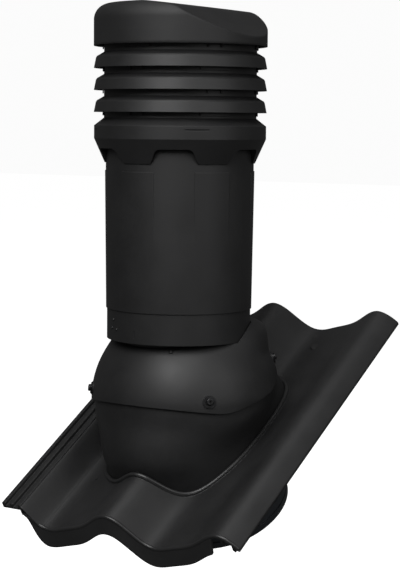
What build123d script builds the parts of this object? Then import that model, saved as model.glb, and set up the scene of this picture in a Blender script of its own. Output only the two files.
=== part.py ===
"""A roof tile vent: a moulded double-wave tile that carries a domed base, an adjustable hood
and an insulated chimney with a louvred head.

The origin is where the chimney's axis meets the mean plane of the roof. +Z is up, X runs
across the slope and +Y runs up the slope. The chimney stands plumb on a sloping roof.
Pieces of the tile are drawn in the roof's own frame, in which x runs across the slope,
y runs up it and z stands square to it.
"""
import os
from math import asin, cos, degrees, pi, radians, sin, sqrt, tan

from build123d import *

# The roof and its tile
PITCH = 30.0  # slope of the roof, degrees
WAVE_LENGTH = 150.0  # from one crest to the next
WAVE_SWING = 17.2  # main swing of the wave, up and down
WAVE_SHARPEN = 2.5  # makes the crests narrower than the valleys
WAVE_LEAN = 3.4  # makes the wave fall faster than it rises, seen from the left
WALL = 3.0  # wall of the large mouldings
TILE_FRONT = 166.0  # front edge, down the slope from the origin
TILE_BACK = 254.0  # back edge, up the slope from the origin
TILE_LEFT = 146.0  # left edge, from the origin
TILE_RIGHT = 180.0  # right edge, from the origin
LOCK_WIDTH = 28.0  # side lock along the left edge
LOCK_TOP = 14.5  # top of the lock's ribs, above the mean plane
LOCK_DEPTH = 4.0  # depth of the grooves between the ribs
LOCK_RIB = 4.6  # width of a rib
LOCK_MIDDLE_RIB = 11.7  # from the tile's left edge to the middle rib
SKIRT_LEAN = 7.4  # how far the front skirt leans down the slope
SKIRT_DROP = 20.4  # depth of the skirt, square to the roof
SKIRT_START = 18.0  # from the tile's left edge to where the skirt would have no depth
SKIRT_FULL = 50.0  # from the tile's left edge to where it has its full depth
OVERLAP = 32.0  # right edge strip that covers the next tile
WATER_RIB_DROP = 7.0  # ribs under the overlap
WATER_RIB = 3.0
WATER_RIB_INSETS = (20.0, 7.0)  # middle of each rib, from the right edge
LUG_WIDTH = 26.0  # batten lugs under the back edge
LUG_DROP = 24.0
LUG_THICK = 7.0
LUG_INSET = 14.0  # back face of a lug, from the back edge
NAIL_BOSS_RADIUS = 5.0
NAIL_BOSS_RISE = 1.3
NAIL_BOSS_ROUND = 0.9
NAIL_BOSS_INSET = 39.0  # from the back edge

# The domed base, in the roof's frame
BALL_RADIUS = 114.0  # outer ball of the hood
BALL_UP_SLOPE = 18.0  # centre of the ball, behind the chimney's axis
BALL_HEIGHT = 45.0  # centre of the ball, above the origin
FOOT_CENTRE = 30.0  # middle of the dome's foot, up the slope
FOOT_HALF_WIDTH = 95.0
FOOT_HALF_LENGTH = 122.0
FOOT_FRONT_POWER = 2.2  # roundness of the foot's front half, 2 is an ellipse
FOOT_BACK_POWER = 3.3  # the back half is squarer
FOOT_DRAFT = 0.05  # the foot's wall leans in by this much for each millimetre of height
DOME_BLEND_LOW = -8.0  # heights between which the foot's oval becomes the ball, at the sides
DOME_BLEND_HIGH = 38.0
DOME_FRONT_LOW = 22.0  # the same at the front
DOME_FRONT_HIGH = 76.0
DOME_TOP_FRONT = 64.0  # upper rim of the dome, at the front
DOME_TOP_RISE = 0.3  # rise of the rim for each millimetre behind that
SHELL_GAP = 1.1  # between the dome and the hood
RIM_WIDTH = 4.0  # raised rim around the dome's foot
RIM_RISE = 3.2
RIM_GAP = 0.8  # between the rim and the dome
FIT_GAP = 0.3  # between pieces that are pushed together
FOOT_LEDGE = 7.0  # from the dome's outer face to the tile's opening

# The hood
HOOD_EDGE = -1.0  # where the lower edge's two slopes meet, above the ball's centre
HOOD_EDGE_MEET = -42.0  # the same, from the chimney's axis
HOOD_EDGE_FRONT = 8.8  # slope of the edge in front of that point, degrees
HOOD_EDGE_BACK = 15.3  # slope of the edge behind it, degrees
HOOD_EDGE_BEND = 60.0  # radius of the bend between the two slopes
HOOD_EDGE_STEEP_FROM = 30.0  # behind this, from the axis, the edge rises faster, over the dome's back
HOOD_EDGE_STEEP = 24.0  # its slope there, degrees
HOOD_TOP = 96.0  # flat top of the shoulder, above the ball's centre
SHOULDER_BASE = 57.0  # the shoulder's wall starts here, above the ball's centre
SHOULDER_LEAN = 0.13  # the wall leans in by this much for each millimetre of height
SHOULDER_ROUND = 14.0  # rounding along the shoulder's top
SHOULDER_START = -45.0  # azimuth at which the shoulder starts, and where it is whole
SHOULDER_FULL = 30.0
NECK_INSET = 14.3  # from the collar's face in to the upright neck that holds it
NECK_OVER_COLLAR = 18.4  # from the collar's lower edge up to the neck's top
HOOD_NIB = (-62.0, 75.0, 2.4)  # azimuth, distance from the axis and radius of the round nib
SCREW_FRONT = (-42.7, 15.0)  # azimuth about the ball and height above its centre
SCREW_BACK = (37.0, 50.0)
SCREW_RADIUS = 2.5
SCREW_HEAD_RADIUS = 4.2
SCREW_HEAD_HEIGHT = 3.2
SCREW_LENGTH = 17.0
SCREW_HEAD_ROUND = 1.2
SCREW_PLAY = 0.2
SOCKET_RADIUS = 1.7
SOCKET_SINK = 2.0
WASHER_RADIUS = 7.0
WASHER_THICK = 1.2
SEAT_RADIUS = 8.0
SEAT_RISE = 0.7
NUT_RADIUS = 4.6
NUT_HEIGHT = 4.0
PAD_SINK = 1.5  # thickness of the pad inside the dome under each nut
CLEARANCE_OUT = 6.0  # reach of a hole's cut past the face it opens in
CLEARANCE_IN = 12.0

# The chimney, with lengths up its axis
TUBE_RADIUS = 86.9  # from the panels' lower end upwards
TUBE_TAPER = 0.9  # how much slimmer the tube is at its lower end
TUBE_WALL = 2.4
TUBE_LENGTH = 186.3
COLLAR_BOTTOM = 121.6  # above the origin
COLLAR_HEIGHT = 36.1
COLLAR_INSET = 1.2  # from the tube's face in to the collar's
COLLAR_WALL = 2.8
COLLAR_SLEEVE = 14.3  # reach of the collar's sleeve into the tube
COLLAR_DOT = 1.6  # radius of the round marks, then the azimuth and height of each on the collar
COLLAR_DOTS = [(-121.0, 14.9), (-113.5, 13.9), (-118.5, 24.9)]
COLLAR_SLOT = (-92.7, 10.4, 1.6, 8.5)  # azimuth, height, width and length of the upright slot
COLLAR_SLOT_DEPTH = 0.6
PANEL_COUNT = 6
PANEL_HALF_ANGLE = 14.5
PANEL_RISE = 0.9  # at the panels' upper end
PANEL_LENGTH = 78.7
PANEL_FROM_TOP = 25.3  # from the panels' upper end to the tube's top
DUCT_RADIUS = 62.5
DUCT_WALL = 2.0
DUCT_OVER_BEND = 2.0  # from the start of the hose's bend up to the duct
DUCT_OVER_TUBE = 8.0  # from the tube's top up to the duct's
COVER_THICK = 2.5

# The louvred head
HEAD_LAP = 16.0  # reach of the head's shoulder down over the tube
HEAD_LAP_GAP = 1.4  # from the tube's face out to the shoulder's lower edge
HEAD_CONE = 28.0  # height of the cone
HEAD_SPREAD = 13.9  # from the tube's face out to the band's
HEAD_BAND = 15.0  # height of the band over the cone
HEAD_SHELF = 9.0  # height of the sloping shelf over the band
HEAD_STEP = 11.5  # from the band's face in to the upstand's
HEAD_LEDGE = 6.0
NOTCH_HALF_BOTTOM = 27.5
NOTCH_HALF_TOP = 20.5
NOTCH_HEIGHT = 16.6
NOTCH_ROUND = 7.0
LATCH_COUNT = 4
LATCH_LENGTH = 28.0
LATCH_HEIGHT = 1.8
LATCH_DEPTH = 1.4
LATCH_UP_BAND = 10.5  # from the band's lower edge to the middle of a slot
LIP_OVER_SHELF = 6.5  # from the head's shelf up to the lowest ring's lip
RING_PITCH = 25.6
RING_COUNT = 3
RING_OVER_BAND = 0.4  # how much wider a ring's lip is than the head's band
RING_LEAN = 2.4  # from a lip in to the ring's outer corner
RING_CORNER = 13.0  # outer corner, above the lip
RING_CORNER_ROUND = 1.2
RING_SHELF = 18.5  # top of the sloping shelf, above the lip
UPSTAND_OVER_LIP = 6.0  # top of an upstand, above the lip of the ring over it
RING_WALL = 2.3
SPACER_REACH = 1.7  # from an upstand's face out to a spacer's
SPACER_TONGUE = 4.0  # reach of a spacer below the lip
SPACER_HALF_ANGLE = 11.5
SPACER_PAIR_ANGLE = 5.3
SPACER_RIB_ANGLE = 1.0
SPACER_TURN = 30.0
TIE_INSET = 6.8  # from an upstand's face in to the long screws' circle
LUG_RADIUS = 5.5
LUG_THICK_UP = 5.0
LUG_OVER_SHELF = 1.0  # from the head's shelf up to its lugs
TIE_AZIMUTHS = [60, 180, 300]  # of the long screws that hold the head together
TIE_RADIUS = 2.0
TIE_HEAD_RADIUS = 4.0
TIE_HEAD_HEIGHT = 2.8
TIE_INTO_CAP = 14.0  # reach of a long screw into the cap's boss
TIE_BOSS_END = 8.0  # from a long screw's end to the end of its boss
CAP_OVER_RING = 0.2  # how much wider the cap is than a ring's lip
CAP_WALL_HEIGHT = 29.7
CAP_ROUND = 18.0  # width and height of the rounding over the wall
CAP_ROUND_HEIGHT = 18.6
CAP_CROWN = 5.4  # height of the crown over the rounding
CAP_CROWN_SWELL = 1.7  # from the crown's middle down to its half-way point
CAP_FALL = 7.7  # slope of the top towards the slanted face, degrees
CAP_FALL_UP = 48.9  # height over the lip at which the falling top meets the axis
CAP_SLANT = 31.3  # slope of the slanted face, degrees
CAP_SLANT_OUT = 46.9  # from the axis to where the slanted face starts
CAP_BEND = 40.0  # radius of the soft bend there
CAP_WALL = 2.6

# The duct connection under the tile, in the roof's frame
SPIGOT_UP_SLOPE = 38.0
SPIGOT_WALL = 2.4
ELBOW_TANGENT = 26.0
HOSE_WALL = 1.8
HOSE_OVERLAP = 20.0
HOSE_RIBS = 6
HOSE_RIB_RISE = 1.4
HOSE_RIB_WIDTH = 4.0
CLAMP_WIDTH = 9.0
CLAMP_THICK = 1.2
PLATE_LEVEL = -23.0  # upper face of the plate that closes the dome from below
PLATE_THICK = 3.0
PLATE_HALF_WIDTH = 92.0
PLATE_MARGIN = 4.0
PLATE_ROUND = 14.0
BOSS_RADIUS = 7.0
BOSS_SPREAD = 79.0
BOSS_FRONT = -74.0
BOSS_BACK = 146.0
BOSS_HOLE = 8.0
PLATE_SCREW_RADIUS = 2.2
SPIGOT_FLANGE = 7.5  # width and thickness of the flange that seats the spigot on the plate
SPIGOT_FLANGE_THICK = 2.5
SOCKET_DEPTH = 136.5  # open end of the socket, below the mean plane
SOCKET_LENGTH = 40.0
SOCKET_BORE = 75.5
SOCKET_WALL = 3.0
SOCKET_STOP = 2.0  # shoulder that stops the pipe
SOCKET_TAPER = 16.0  # height of the cone between the spigot and the socket
SEAL_WIDTH = 8.0
SEAL_THICK = 2.2
SEAL_FROM_END = 9.0
SEAL_PLAY = 0.1
SOCKET_RING_THICK = 6.1  # from the socket's face out to the ring's
SOCKET_RING_LENGTH = 19.0
SOCKET_RING_PLAY = 0.1
SOCKET_RING_BEVEL = 1.5
SOCKET_RING_GROOVE = 1.6  # depth of the groove around the ring
SOCKET_RING_GROOVE_WIDTH = 2.2
SOCKET_RING_GROOVE_UP = 10.4  # from the ring's open end up to the middle of the groove
HOSE_PLAY = 0.15
CLAMP_PLAY = 0.1
CLAMP_BLOCK = (6.0, 14.0)  # the tightening block's height and length
CLAMP_BLOCK_OUT = 3.4  # from the band's inner face to the middle of the block

# Worked out from the sizes above
ROOF = Plane(origin=(0, 0, 0), x_dir=(1, 0, 0), z_dir=(0, -sin(radians(PITCH)), cos(radians(PITCH))))
BALL = Vector(0, BALL_UP_SLOPE, BALL_HEIGHT)
BALL_IN_ROOF = ROOF.to_local_coords(BALL)
DOME_RADIUS = BALL_RADIUS - WALL - SHELL_GAP
TUBE_BOTTOM_RADIUS = TUBE_RADIUS - TUBE_TAPER
TUBE_BORE = TUBE_BOTTOM_RADIUS - TUBE_WALL
COLLAR_RADIUS = TUBE_BOTTOM_RADIUS - COLLAR_INSET
NECK_RADIUS = COLLAR_RADIUS - NECK_INSET
NECK_TOP = COLLAR_BOTTOM + NECK_OVER_COLLAR
TUBE_BOTTOM = COLLAR_BOTTOM + COLLAR_HEIGHT
COLLAR_SLEEVE_TOP = TUBE_BOTTOM + COLLAR_SLEEVE
TUBE_TOP = TUBE_BOTTOM + TUBE_LENGTH
PANEL_TOP = TUBE_TOP - PANEL_FROM_TOP
PANEL_BOTTOM = PANEL_TOP - PANEL_LENGTH
DUCT_TOP = TUBE_TOP + DUCT_OVER_TUBE
HEAD_BOTTOM = TUBE_TOP - HEAD_LAP
HEAD_BOTTOM_RADIUS = TUBE_RADIUS + HEAD_LAP_GAP
HEAD_RADIUS = TUBE_RADIUS + HEAD_SPREAD
HEAD_BAND_LOW = HEAD_BOTTOM + HEAD_CONE
HEAD_BAND_HIGH = HEAD_BAND_LOW + HEAD_BAND
HEAD_SHELF_TOP = HEAD_BAND_HIGH + HEAD_SHELF
UPSTAND_RADIUS = HEAD_RADIUS - HEAD_STEP
NOTCH_TOP = HEAD_BOTTOM + NOTCH_HEIGHT
LIP_FIRST = HEAD_SHELF_TOP + LIP_OVER_SHELF
RING_RADIUS = HEAD_RADIUS + RING_OVER_BAND
RING_CORNER_RADIUS = RING_RADIUS - RING_LEAN
SPACER_RADIUS = UPSTAND_RADIUS + SPACER_REACH
LUG_CIRCLE = UPSTAND_RADIUS - TIE_INSET
CAP_LIP = LIP_FIRST + RING_PITCH * RING_COUNT
CAP_RADIUS = RING_RADIUS + CAP_OVER_RING
CAP_PLATE = CAP_LIP + RING_SHELF - 2 * RING_WALL  # underside of the plate inside the cap
SOCKET_RADIUS_OUT = SOCKET_BORE + SOCKET_WALL
HOSE_INNER = DUCT_RADIUS + HOSE_PLAY
HOSE_OUTER = HOSE_INNER + HOSE_WALL
FAR = 600.0  # reach of the solids that only cut
PAST = 1.0  # how far a cut runs past the face it opens in
FOOT_REACH = 60.0  # height of the solids that shape the dome's foot
SECTION_POINTS = 32
FOOT_LEVELS = (-35.0, -16.0, DOME_BLEND_LOW, 0.0, 8.0, 17.0, 27.0)  # sections of the dome's foot
DOME_SHARES = (0.07, 0.18, 0.29, 0.4, 0.51, 0.61, 0.71)  # and of its ball, as shares of the radius
HOOD_SHARES = (-0.05, 0.09, 0.21, 0.33, 0.44)


def wave(x):
    """Height of the tile's top face over the roof's mean plane."""
    turn = 2 * pi * x / WAVE_LENGTH
    return WAVE_SWING * cos(turn) + WAVE_SHARPEN * cos(2 * turn) + WAVE_LEAN * sin(2 * turn)


def wave_curve(left, right, offset):
    """The wave as a curve across the slope, raised by an offset."""
    steps = max(6, round((right - left) / (WAVE_LENGTH / 12)))
    xs = [left + (right - left) * i / steps for i in range(steps + 1)]
    return Spline(*[(x, 0, wave(x) + offset) for x in xs])


def wave_band(left, right, low, high):
    """A flat face between two copies of the wave, upright at the roof frame's origin."""
    upper, lower = wave_curve(left, right, high), wave_curve(left, right, low)
    sides = [Line(upper @ 0, lower @ 0), Line(upper @ 1, lower @ 1)]
    return make_face(Wire([upper, lower] + sides))


def wave_sheet(left, right, front, back, low, high):
    """A waved sheet in the roof's frame, between two heights over the wave."""
    face = Pos(0, front, 0) * wave_band(left, right, low, high)
    return extrude(face, back - front, dir=(0, 1, 0))


def prism(points, axis_length, start, direction):
    """A straight solid on a polygon of 3-D points."""
    outline = Polyline(*points, close=True)
    return extrude(Pos(*start) * make_face(outline), axis_length, dir=direction)


def rib_along(left, right, low, high, front, back):
    """A straight rib that runs up the slope."""
    middle = Pos((left + right) / 2, (front + back) / 2, (low + high) / 2)
    return middle * Box(right - left, back - front, high - low)


def to_roof(shape):
    """Turns a shape from the roof's frame into the vent's frame."""
    return ROOF.location * shape


def smooth(value, low, high):
    """Rises smoothly from 0 to 1 between two values."""
    t = min(1.0, max(0.0, (value - low) / (high - low)))
    return t * t * (3 - 2 * t)


def turned(profile):
    """A solid of revolution about the chimney's axis, from (radius, height) points."""
    outline = Polyline(*[(r, 0, z) for r, z in profile], close=True)
    return revolve(make_face(outline), Axis.Z)


def ring(inner, outer, bottom, top):
    """A plain upright ring."""
    return Pos(0, 0, bottom) * extrude(Circle(outer) - Circle(inner), top - bottom)


def upright(x, y, bottom, radius, top):
    """An upright cylinder between two heights."""
    return Pos(x, y, bottom) * extrude(Circle(radius), top - bottom)


def foot_radius(turn, inset):
    """Distance of the foot's oval from its middle, at an angle in the roof's plane."""
    power = FOOT_BACK_POWER if sin(turn) > 0 else FOOT_FRONT_POWER
    across = abs(cos(turn)) / (FOOT_HALF_WIDTH - inset)
    along = abs(sin(turn)) / (FOOT_HALF_LENGTH - inset)
    return (across**power + along**power) ** (-1 / power)


def foot_wire(level, inset):
    """The foot's oval at a height over the roof's mean plane."""
    turns = [2 * pi * (i + 0.5) / SECTION_POINTS for i in range(SECTION_POINTS)]
    points = []
    for turn in turns:
        reach = foot_radius(turn, inset)
        points.append((reach * cos(turn), FOOT_CENTRE + reach * sin(turn), level))
    return Wire([Spline(*points, periodic=True)])


def foot_prism(inset, low, high):
    """A straight solid on the foot's oval."""
    return extrude(make_face(foot_wire(low, inset)), high - low, dir=(0, 0, 1))


def dome_wire(level, inset):
    """Section of the domed base: the foot's oval below, the ball above, and a blend between."""
    rise = level - BALL_IN_ROOF.Z
    ball = sqrt(max(1.0, (DOME_RADIUS - inset) ** 2 - rise**2))
    lean = FOOT_DRAFT * (level - DOME_BLEND_LOW)
    points = []
    for i in range(SECTION_POINTS):
        turn = 2 * pi * (i + 0.5) / SECTION_POINTS
        front = max(0.0, -sin(turn)) ** 2
        low = DOME_BLEND_LOW + front * (DOME_FRONT_LOW - DOME_BLEND_LOW)
        high = DOME_BLEND_HIGH + front * (DOME_FRONT_HIGH - DOME_BLEND_HIGH)
        share = smooth(level, low, high)
        foot = foot_radius(turn, inset + lean)
        foot_x, foot_y = foot * cos(turn), FOOT_CENTRE + foot * sin(turn)
        ball_x, ball_y = ball * cos(turn), BALL_IN_ROOF.Y + ball * sin(turn)
        points.append((foot_x + share * (ball_x - foot_x), foot_y + share * (ball_y - foot_y), level))
    return Wire([Spline(*points, periodic=True)])


def dome_body(inset):
    """The domed base as a full solid, in the roof's frame."""
    levels = [*FOOT_LEVELS] + [BALL_IN_ROOF.Z + DOME_RADIUS * share for share in DOME_SHARES]
    return loft([make_face(dome_wire(level, inset)) for level in levels])


def ball_direction(azimuth, height):
    """Unit vector from the ball's centre to a spot on the hood."""
    level = height / BALL_RADIUS
    around = sqrt(1 - level**2)
    return Vector(around * cos(radians(azimuth)), around * sin(radians(azimuth)), level)


def screw_places():
    """A plane at the ball's centre for each hood screw, with its z axis along the screw."""
    places = []
    for azimuth, height in (SCREW_FRONT, SCREW_BACK):
        for angle in (azimuth, 180 - azimuth):
            places.append(Plane(origin=BALL, z_dir=ball_direction(angle, height)))
    return places


def along(plane, radius, low, high):
    """A cylinder along a plane's axis, between two distances from its origin."""
    return plane.location * upright(0, 0, low, radius, high)


def hood_reach(azimuth, height, inset):
    """Distance of the hood's outer face from the ball's upright axis."""
    ball = sqrt((BALL_RADIUS - inset) ** 2 - height**2)
    wall_foot = sqrt(BALL_RADIUS**2 - SHOULDER_BASE**2)
    if height <= SHOULDER_BASE:
        return ball
    reach = wall_foot - inset - SHOULDER_LEAN * (height - SHOULDER_BASE)
    into_round = height - (HOOD_TOP - inset - SHOULDER_ROUND)
    if into_round > 0:
        reach -= SHOULDER_ROUND - sqrt(max(0.0, SHOULDER_ROUND**2 - into_round**2))
    side = degrees(asin(cos(radians(azimuth))))
    from_side = 90 - abs(side) if sin(radians(azimuth)) > 0 else abs(side) - 90
    return ball + smooth(from_side, SHOULDER_START, SHOULDER_FULL) * max(0.0, reach - ball)


def hood_body(inset):
    """The hood as a full solid."""
    top = HOOD_TOP - inset
    start = top - SHOULDER_ROUND
    levels = [BALL_RADIUS * share for share in HOOD_SHARES]
    near = SHOULDER_ROUND / 7
    levels += [SHOULDER_BASE + near, SHOULDER_BASE + SHOULDER_ROUND, start - near]
    levels += [start + SHOULDER_ROUND * sin(radians(a)) for a in (24, 42, 60, 78)]
    sections = []
    for level in levels:
        points = []
        for i in range(SECTION_POINTS):
            azimuth = 360 * (i + 0.5) / SECTION_POINTS
            reach = hood_reach(azimuth, level, inset)
            x, y = reach * cos(radians(azimuth)), reach * sin(radians(azimuth))
            points.append((x, BALL_UP_SLOPE + y, BALL_HEIGHT + level))
        sections.append(make_face(Wire([Spline(*points, periodic=True)])))
    return loft(sections)


def soft_corner(corner, before, after, radius):
    """A far line into a corner, a bend of a radius there, and a far line out of it."""
    half_turn = radians(before.get_angle(after)) / 2
    reach = radius * tan(half_turn)
    inward = (after - before).normalized()
    line_in = Line(corner - before * FAR, corner - before * reach)
    half_way = corner + inward * (radius * (1 / cos(half_turn) - 1))
    bend = ThreePointArc(line_in @ 1, half_way, corner + after * reach)
    return [line_in, bend, Line(bend @ 1, corner + after * FAR)]


def hood_trim():
    """What lies under the hood's lower edge: it falls from the front, bends and rises to the back."""
    corner = Vector(0, HOOD_EDGE_MEET, BALL_HEIGHT + HOOD_EDGE)
    front, back = radians(HOOD_EDGE_FRONT), radians(HOOD_EDGE_BACK)
    falling, rising = Vector(0, cos(front), -sin(front)), Vector(0, cos(back), sin(back))
    edge = soft_corner(corner, falling, rising, HOOD_EDGE_BEND)
    rest = Polyline(edge[-1] @ 1, (0, FAR, -FAR), (0, -FAR, -FAR), edge[0] @ 0)
    face = make_face(Wire(edge + rest.edges()))
    under = extrude(Pos(-FAR, 0, 0) * face, 2 * FAR, dir=(1, 0, 0))
    start = HOOD_EDGE_STEEP_FROM
    level = corner.Z + (start - corner.Y) * tan(back)
    far_level = level + (FAR - start) * tan(radians(HOOD_EDGE_STEEP))
    points = [(0, start, level), (0, FAR, far_level), (0, FAR, -FAR), (0, start, -FAR)]
    return [under, prism(points, 2 * FAR, (-FAR, 0, 0), (1, 0, 0))]


def skirt_foot(x):
    """Height of the skirt's lower edge over the mean plane: its depth grows from the lock on."""
    under_lock = LOCK_TOP - LOCK_DEPTH - WALL
    share = smooth(x, SKIRT_START - TILE_LEFT, SKIRT_FULL - TILE_LEFT)
    return under_lock + share * (wave(x) - SKIRT_DROP - under_lock)


def under_skirt(left, right, front, back):
    """What lies under the skirt's lower edge."""
    steps = round((right - left) / (WAVE_LENGTH / 16))
    xs = [left + (right - left) * i / steps for i in range(steps + 1)]
    foot = Spline(*[(x, front, skirt_foot(x)) for x in xs])
    rest = Polyline(foot @ 1, (right, front, -FAR), (left, front, -FAR), foot @ 0)
    return extrude(make_face(Wire([foot] + rest.edges())), back - front, dir=(0, 1, 0))


def front_skirt(lock_right):
    """The skirt under the tile's front edge: it leans out, follows the wave and ends at the overlap."""
    lean = Vector(0, -SKIRT_LEAN, -SKIRT_DROP)
    depth = WALL * lean.length / SKIRT_LEAN
    band = Pos(0, -TILE_FRONT, 0) * wave_band(lock_right, TILE_RIGHT, -depth, 0)
    skirt = extrude(band, 2 * lean.length, dir=lean)
    front = -TILE_FRONT - 3 * SKIRT_LEAN
    skirt -= under_skirt(lock_right - WALL, TILE_RIGHT + WALL, front, -TILE_FRONT + WALL)
    return skirt - rib_along(TILE_RIGHT - OVERLAP, TILE_RIGHT + WALL, -FAR, FAR, front, -TILE_FRONT)


def make_tile_base():
    """The tile: waved plate, side lock, overlap, skirt, lugs and the dome's opening."""
    lock_right = -TILE_LEFT + LOCK_WIDTH
    plate = wave_sheet(lock_right, TILE_RIGHT, -TILE_FRONT, TILE_BACK, -WALL, 0)
    tile = plate + front_skirt(lock_right)

    floor = LOCK_TOP - LOCK_DEPTH
    tile += rib_along(-TILE_LEFT, lock_right, floor - WALL, floor, -TILE_FRONT, TILE_BACK)
    for left in (-TILE_LEFT, LOCK_MIDDLE_RIB - TILE_LEFT, lock_right - LOCK_RIB):
        tile += rib_along(left, left + LOCK_RIB, floor, LOCK_TOP, -TILE_FRONT, TILE_BACK)
    wall_low = wave(lock_right) - WALL
    tile += rib_along(lock_right - WALL, lock_right, wall_low, floor, -TILE_FRONT, TILE_BACK)

    for inset in WATER_RIB_INSETS:
        left = TILE_RIGHT - inset - WATER_RIB / 2
        low = -WALL - WATER_RIB_DROP
        tile += wave_sheet(left, left + WATER_RIB, -TILE_FRONT, TILE_BACK, low, -WALL / 2)

    valley = wave(WAVE_LENGTH / 2)
    for side in (-1, 1):
        middle = side * WAVE_LENGTH / 2
        back = TILE_BACK - LUG_INSET
        low, high = valley - WALL - LUG_DROP, valley - WALL / 2
        lug = rib_along(middle - LUG_WIDTH / 2, middle + LUG_WIDTH / 2, low, high, back - LUG_THICK, back)
        top = wave(middle) + NAIL_BOSS_RISE
        nail = upright(middle, TILE_BACK - NAIL_BOSS_INSET, high, NAIL_BOSS_RADIUS, top)
        tile += [lug, fillet(nail.edges().sort_by(Axis.Z)[-1], NAIL_BOSS_ROUND)]

    rim_layer = wave_sheet(lock_right, TILE_RIGHT, -TILE_FRONT, TILE_BACK, -WALL / 2, RIM_RISE)
    rim_out = foot_prism(-RIM_GAP - RIM_WIDTH, -FOOT_REACH, FOOT_REACH)
    rim_in = foot_prism(-RIM_GAP, -FOOT_REACH - PAST, FOOT_REACH + PAST)
    tile += rim_layer & (rim_out - rim_in)
    tile -= foot_prism(FOOT_LEDGE, -FOOT_REACH, FOOT_REACH)

    above = wave_sheet(lock_right, TILE_RIGHT, -TILE_FRONT, TILE_BACK, -WALL / 2, 2 * FOOT_REACH)
    tile += [upright(x, y, PLATE_LEVEL, BOSS_RADIUS, FOOT_REACH) - above for x, y in boss_places()]
    end = PLATE_LEVEL + BOSS_HOLE
    holes = [upright(x, y, PLATE_LEVEL, PLATE_SCREW_RADIUS, end) for x, y in boss_places()]
    return to_roof(tile - holes)


def boss_places():
    """Where the plate under the dome is screwed to the tile."""
    return [(side * BOSS_SPREAD, y) for side in (-1, 1) for y in (BOSS_FRONT, BOSS_BACK)]


def dome_cut():
    """What lies over the upper rim of the domed base."""
    front = BALL_UP_SLOPE - BALL_RADIUS
    low = DOME_TOP_FRONT - DOME_TOP_RISE * (FAR + front)
    high = DOME_TOP_FRONT + DOME_TOP_RISE * (FAR - front)
    points = [(0, -FAR, low), (0, FAR, high), (0, FAR, FAR), (0, -FAR, FAR)]
    return prism(points, 2 * FAR, (-FAR, 0, 0), (1, 0, 0))


def make_lower_dome():
    """The domed base: a shell that stands on the tile and reaches up inside the hood."""
    shell = dome_body(0) - dome_body(WALL)
    flange_out = foot_prism(WALL / 2, PLATE_LEVEL + PAST, FOOT_REACH)
    flange_in = foot_prism(FOOT_LEDGE + FIT_GAP + WALL, PLATE_LEVEL - PAST, FOOT_REACH + PAST)
    over_flange = wave_sheet(-TILE_LEFT, TILE_RIGHT, -TILE_FRONT, TILE_BACK, FIT_GAP + WALL, FAR)
    flange = flange_out - flange_in - over_flange
    tile_room = wave_sheet(-TILE_LEFT, TILE_RIGHT, -TILE_FRONT, TILE_BACK, -FAR, FIT_GAP)
    tile_room -= foot_prism(FOOT_LEDGE + FIT_GAP, -2 * FAR, 4 * FAR)
    shell = shell + flange - tile_room
    dome = to_roof(shell) - dome_cut()
    for place in screw_places():
        dome += along(place, SEAT_RADIUS, DOME_RADIUS - WALL - PAD_SINK, DOME_RADIUS - WALL / 2)
        dome -= along(place, SCREW_RADIUS, DOME_RADIUS - CLEARANCE_IN, DOME_RADIUS + CLEARANCE_OUT)
    return dome


def make_hood():
    """The hood: a half ball with a raised shoulder behind the chimney and an upright neck."""
    moat = COLLAR_RADIUS + SHELL_GAP
    floor = COLLAR_BOTTOM - FIT_GAP
    neck = upright(0, 0, floor - 2 * WALL, NECK_RADIUS, NECK_TOP)
    outer = hood_body(0) - ring(NECK_RADIUS, moat, floor, FAR) + neck
    hollow = hood_body(WALL) - upright(0, 0, floor - WALL, moat + WALL, FAR)
    bore = upright(0, 0, BALL_HEIGHT, NECK_RADIUS - WALL, FAR)
    hood = outer - hollow - bore - hood_trim()
    for place in screw_places():
        hood += along(place, SEAT_RADIUS, BALL_RADIUS - WALL / 2, BALL_RADIUS + SEAT_RISE)
        hood -= along(place, SCREW_RADIUS, BALL_RADIUS - CLEARANCE_IN, BALL_RADIUS + CLEARANCE_OUT)
    azimuth, distance, radius = HOOD_NIB
    spot = Vector(distance * cos(radians(azimuth)), distance * sin(radians(azimuth)), 0)
    height = sqrt(BALL_RADIUS**2 - spot.X**2 - (spot.Y - BALL_UP_SLOPE) ** 2)
    hood += Pos(spot.X, spot.Y, BALL_HEIGHT + height) * Sphere(radius)
    return hood


def make_hood_screws():
    """Four screws that clamp the hood to the domed base."""
    under_head = BALL_RADIUS + SEAT_RISE + WASHER_THICK
    top = under_head + SCREW_HEAD_HEIGHT
    head = upright(0, 0, under_head, SCREW_HEAD_RADIUS, top)
    head = fillet(head.edges().sort_by(Axis.Z)[-1], SCREW_HEAD_ROUND)
    shank = upright(0, 0, under_head - SCREW_LENGTH, SCREW_RADIUS - SCREW_PLAY, under_head + PAST)
    socket = extrude(Pos(0, 0, top - SOCKET_SINK) * RegularPolygon(SOCKET_RADIUS, 6), 2 * SOCKET_SINK)
    screw = head + shank - socket
    return Compound(children=[place.location * screw for place in screw_places()])


def make_hood_washers():
    """A washer under each hood screw."""
    low = BALL_RADIUS + SEAT_RISE
    washers = []
    for place in screw_places():
        disc = along(place, WASHER_RADIUS, low, low + WASHER_THICK)
        washers.append(disc - along(place, SCREW_RADIUS, low - PAST, low + WASHER_THICK + PAST))
    return Compound(children=washers)


def make_hood_nuts():
    """A hexagon nut inside the domed base for each hood screw."""
    seat = DOME_RADIUS - WALL - PAD_SINK
    nut = Pos(0, 0, seat - NUT_HEIGHT) * extrude(RegularPolygon(NUT_RADIUS, 6), NUT_HEIGHT)
    nut -= upright(0, 0, seat - 2 * NUT_HEIGHT, SCREW_RADIUS - SCREW_PLAY, seat + PAST)
    return Compound(children=[place.location * nut for place in screw_places()])


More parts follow.
